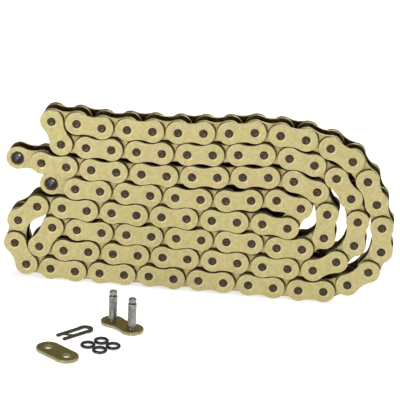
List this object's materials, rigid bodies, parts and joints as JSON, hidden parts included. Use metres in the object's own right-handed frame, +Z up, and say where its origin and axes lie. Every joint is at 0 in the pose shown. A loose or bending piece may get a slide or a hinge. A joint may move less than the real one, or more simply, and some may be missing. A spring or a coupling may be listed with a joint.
{
  "type": "drive chain",
  "caption": "Sealed gold roller chain laid in folded rows with open ends, and a loose connecting link with pins, side plate, spring clip and sealing rings.",
  "frame": {"origin": "middle of the footprint of the chain and its connecting link, on the floor they stand on", "axes": "+Z up; pins of the chain along Y with the connecting link on the -Y side; rows of the chain along X with its open ends towards -X"},
  "size_m": [0.2466, 0.137, 0.117],
  "materials": {
    "outer_plate_gold": "satin gold plating",
    "inner_plate_gold": "satin gold plating",
    "kit_gold": "satin olive-gold plating",
    "pin_steel": "dark riveted pin ends",
    "bush_steel": "dark oiled steel",
    "roller_steel": "dark oiled steel",
    "kit_pin_steel": "ground steel",
    "spring_steel": "dark spring steel",
    "seal_rubber": "black",
    "ring_rubber": "black"
  },
  "bodies": {
    "coil": {"rows_3_6_outer_plates": "outer_plate_gold", "rows_3_6_inner_plates": "inner_plate_gold", "rows_3_6_pins": "pin_steel", "rows_3_6_bushes": "bush_steel", "rows_3_6_rollers": "roller_steel", "rows_3_6_seals": "seal_rubber", "row_7_outer_plates": "outer_plate_gold", "row_7_inner_plates": "inner_plate_gold", "row_7_pins": "pin_steel", "row_7_bushes": "bush_steel", "row_7_rollers": "roller_steel", "row_7_seals": "seal_rubber", "rows_1_2_outer_plates": "outer_plate_gold", "rows_1_2_inner_plates": "inner_plate_gold", "rows_1_2_pins": "pin_steel", "rows_1_2_bushes": "bush_steel", "rows_1_2_rollers": "roller_steel", "rows_1_2_seals": "seal_rubber", "row_8_outer_plates": "outer_plate_gold", "row_8_inner_plates": "inner_plate_gold", "row_8_pins": "pin_steel", "row_8_bushes": "bush_steel", "row_8_rollers": "roller_steel", "row_8_seals": "seal_rubber", "rows_4_5_outer_plates": "outer_plate_gold", "rows_4_5_inner_plates": "inner_plate_gold", "rows_4_5_pins": "pin_steel", "rows_4_5_bushes": "bush_steel", "rows_4_5_rollers": "roller_steel", "rows_4_5_seals": "seal_rubber"},
    "second_link": {"second_link_plates": "outer_plate_gold", "second_link_pins": "pin_steel", "second_link_seals": "seal_rubber"},
    "first_link": {"first_link_plates": "inner_plate_gold", "first_link_bushes": "bush_steel"},
    "last_link": {"last_link_plates": "inner_plate_gold", "last_link_bushes": "bush_steel"},
    "first_link_roller_1": {"first_link_roller_1": "roller_steel"},
    "first_link_roller_2": {"first_link_roller_2": "roller_steel"},
    "last_link_roller_1": {"last_link_roller_1": "roller_steel"},
    "last_link_roller_2": {"last_link_roller_2": "roller_steel"},
    "top_roller_1": {"top_roller_1": "roller_steel"},
    "top_roller_2": {"top_roller_2": "roller_steel"},
    "top_roller_3": {"top_roller_3": "roller_steel"},
    "top_roller_4": {"top_roller_4": "roller_steel"},
    "top_roller_5": {"top_roller_5": "roller_steel"},
    "top_roller_6": {"top_roller_6": "roller_steel"},
    "top_roller_7": {"top_roller_7": "roller_steel"},
    "top_roller_8": {"top_roller_8": "roller_steel"},
    "top_roller_9": {"top_roller_9": "roller_steel"},
    "top_roller_10": {"top_roller_10": "roller_steel"},
    "kit_link": {"kit_link_plate": "kit_gold", "kit_link_pins": "kit_pin_steel"},
    "kit_side_plate": {"kit_side_plate": "kit_gold"},
    "kit_clip": {"kit_clip": "spring_steel"},
    "kit_ring_1": {"kit_ring_1": "ring_rubber"},
    "kit_ring_2": {"kit_ring_2": "ring_rubber"},
    "kit_ring_3": {"kit_ring_3": "ring_rubber"},
    "kit_ring_4": {"kit_ring_4": "ring_rubber"}
  },
  "joints": [
    {"name": "second_link_swing", "type": "hinge", "parent": "coil", "child": "second_link", "pos_m": [-0.08349, 0.0586, 0.07748], "axis": [0, 1, 0], "range_deg": [0, 6]},
    {"name": "first_link_swing", "type": "hinge", "parent": "second_link", "child": "first_link", "pos_m": [-0.0993, 0.0586, 0.07893], "axis": [0, 1, 0], "range_deg": [-50, 60]},
    {"name": "last_link_swing", "type": "hinge", "parent": "coil", "child": "last_link", "pos_m": [-0.07762, 0.0586, 0.0633], "axis": [0, 1, 0], "range_deg": [-4, 1]},
    {"name": "first_link_roller_1_spin", "type": "hinge", "parent": "first_link", "child": "first_link_roller_1", "pos_m": [-0.11515, 0.0586, 0.07983], "axis": [0, 1, 0], "continuous": true},
    {"name": "first_link_roller_2_spin", "type": "hinge", "parent": "first_link", "child": "first_link_roller_2", "pos_m": [-0.0993, 0.0586, 0.07893], "axis": [0, 1, 0], "continuous": true},
    {"name": "last_link_roller_1_spin", "type": "hinge", "parent": "last_link", "child": "last_link_roller_1", "pos_m": [-0.07762, 0.0586, 0.0633], "axis": [0, 1, 0], "continuous": true},
    {"name": "last_link_roller_2_spin", "type": "hinge", "parent": "last_link", "child": "last_link_roller_2", "pos_m": [-0.09345, 0.0586, 0.06447], "axis": [0, 1, 0], "continuous": true},
    {"name": "top_roller_1_spin", "type": "hinge", "parent": "coil", "child": "top_roller_1", "pos_m": [-0.09326, 0.0586, 0.10679], "axis": [0, 1, 0], "continuous": true},
    {"name": "top_roller_2_spin", "type": "hinge", "parent": "coil", "child": "top_roller_2", "pos_m": [-0.07739, 0.0586, 0.10644], "axis": [0, 1, 0], "continuous": true},
    {"name": "top_roller_3_spin", "type": "hinge", "parent": "coil", "child": "top_roller_3", "pos_m": [-0.06159, 0.0586, 0.10485], "axis": [0, 1, 0], "continuous": true},
    {"name": "top_roller_4_spin", "type": "hinge", "parent": "coil", "child": "top_roller_4", "pos_m": [-0.04572, 0.0586, 0.10506], "axis": [0, 1, 0], "continuous": true},
    {"name": "top_roller_5_spin", "type": "hinge", "parent": "coil", "child": "top_roller_5", "pos_m": [-0.02985, 0.0586, 0.10526], "axis": [0, 1, 0], "continuous": true},
    {"name": "top_roller_6_spin", "type": "hinge", "parent": "coil", "child": "top_roller_6", "pos_m": [-0.01398, 0.0586, 0.10575], "axis": [0, 1, 0], "continuous": true},
    {"name": "top_roller_7_spin", "type": "hinge", "parent": "coil", "child": "top_roller_7", "pos_m": [0.00187, 0.0586, 0.10665], "axis": [0, 1, 0], "continuous": true},
    {"name": "top_roller_8_spin", "type": "hinge", "parent": "coil", "child": "top_roller_8", "pos_m": [0.01769, 0.0586, 0.10796], "axis": [0, 1, 0], "continuous": true},
    {"name": "top_roller_9_spin", "type": "hinge", "parent": "coil", "child": "top_roller_9", "pos_m": [0.03347, 0.0586, 0.10969], "axis": [0, 1, 0], "continuous": true},
    {"name": "top_roller_10_spin", "type": "hinge", "parent": "coil", "child": "top_roller_10", "pos_m": [0.04933, 0.0586, 0.10907], "axis": [0, 1, 0], "continuous": true},
    {"name": "kit_link_lift", "type": "slide", "parent": "coil", "child": "kit_link", "axis": [0, 0, 1], "range_m": [0, 0.06]},
    {"name": "kit_side_plate_lift", "type": "slide", "parent": "coil", "child": "kit_side_plate", "axis": [0, 0, 1], "range_m": [0, 0.06]},
    {"name": "kit_clip_lift", "type": "slide", "parent": "coil", "child": "kit_clip", "axis": [0, 0, 1], "range_m": [0, 0.06]},
    {"name": "kit_ring_1_lift", "type": "slide", "parent": "coil", "child": "kit_ring_1", "axis": [0, 0, 1], "range_m": [0, 0.06]},
    {"name": "kit_ring_2_lift", "type": "slide", "parent": "coil", "child": "kit_ring_2", "axis": [0, 0, 1], "range_m": [0, 0.06]},
    {"name": "kit_ring_3_lift", "type": "slide", "parent": "coil", "child": "kit_ring_3", "axis": [0, 0, 1], "range_m": [0, 0.06]},
    {"name": "kit_ring_4_lift", "type": "slide", "parent": "coil", "child": "kit_ring_4", "axis": [0, 0, 1], "range_m": [0, 0.06]}
  ]
}
